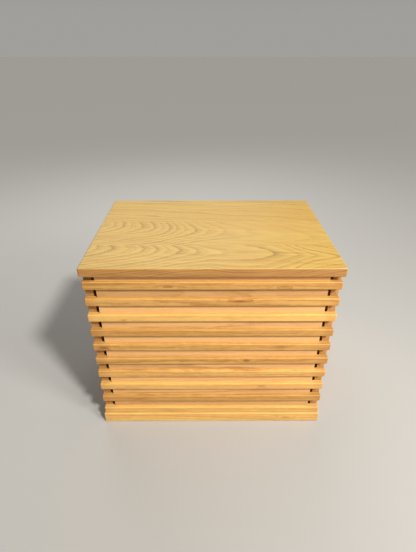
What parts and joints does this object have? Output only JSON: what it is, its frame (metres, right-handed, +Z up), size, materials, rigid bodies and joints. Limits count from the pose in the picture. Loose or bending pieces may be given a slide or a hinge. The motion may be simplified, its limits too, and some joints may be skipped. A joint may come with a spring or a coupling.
{
  "type": "stage riser platform",
  "caption": "Solid-wood box riser with a flat plank top, plain side panels, and front and back walls of raised slats with recessed strips between them.",
  "frame": {"origin": "on the floor, under the middle of the top", "axes": "+Z up, +X along the width and the grain of the top, -Y towards the front slatted wall"},
  "size_m": [0.61, 0.442, 0.506],
  "materials": {
    "top_wood": "clear oiled oak, flat-sawn, grain along the width",
    "slat_wood": "clear oiled oak",
    "filler_wood": "clear oiled oak, paler",
    "side_wood": "clear oiled oak, boards glued edge to edge",
    "cleat_wood": "planed, unfinished",
    "dowel_wood": "beech, unfinished",
    "screw_steel": "zinc plated"
  },
  "bodies": {
    "root": {"back_base_rail": "slat_wood", "back_cleat": "cleat_wood", "back_dowels": "dowel_wood", "back_filler_01": "filler_wood", "back_filler_02": "filler_wood", "back_filler_03": "filler_wood", "back_filler_04": "filler_wood", "back_filler_05": "filler_wood", "back_filler_06": "filler_wood", "back_filler_07": "filler_wood", "back_filler_08": "filler_wood", "back_filler_09": "filler_wood", "back_filler_10": "filler_wood", "back_slat_01": "slat_wood", "back_slat_02": "slat_wood", "back_slat_03": "slat_wood", "back_slat_04": "slat_wood", "back_slat_05": "slat_wood", "back_slat_06": "slat_wood", "back_slat_07": "slat_wood", "back_slat_08": "slat_wood", "back_slat_09": "slat_wood", "back_slat_10": "slat_wood", "front_base_rail": "slat_wood", "front_cleat": "cleat_wood", "front_dowels": "dowel_wood", "front_filler_01": "filler_wood", "front_filler_02": "filler_wood", "front_filler_03": "filler_wood", "front_filler_04": "filler_wood", "front_filler_05": "filler_wood", "front_filler_06": "filler_wood", "front_filler_07": "filler_wood", "front_filler_08": "filler_wood", "front_filler_09": "filler_wood", "front_filler_10": "filler_wood", "front_slat_01": "slat_wood", "front_slat_02": "slat_wood", "front_slat_03": "slat_wood", "front_slat_04": "slat_wood", "front_slat_05": "slat_wood", "front_slat_06": "slat_wood", "front_slat_07": "slat_wood", "front_slat_08": "slat_wood", "front_slat_09": "slat_wood", "front_slat_10": "slat_wood", "left_cleat": "cleat_wood", "left_side_lower": "side_wood", "left_side_middle": "side_wood", "left_side_upper": "side_wood", "right_cleat": "cleat_wood", "right_side_lower": "side_wood", "right_side_middle": "side_wood", "right_side_upper": "side_wood", "top_plank_back": "top_wood", "top_plank_front": "top_wood", "top_plank_middle": "top_wood", "top_screws": "screw_steel", "wall_screws": "screw_steel"}
  },
  "joints": []
}
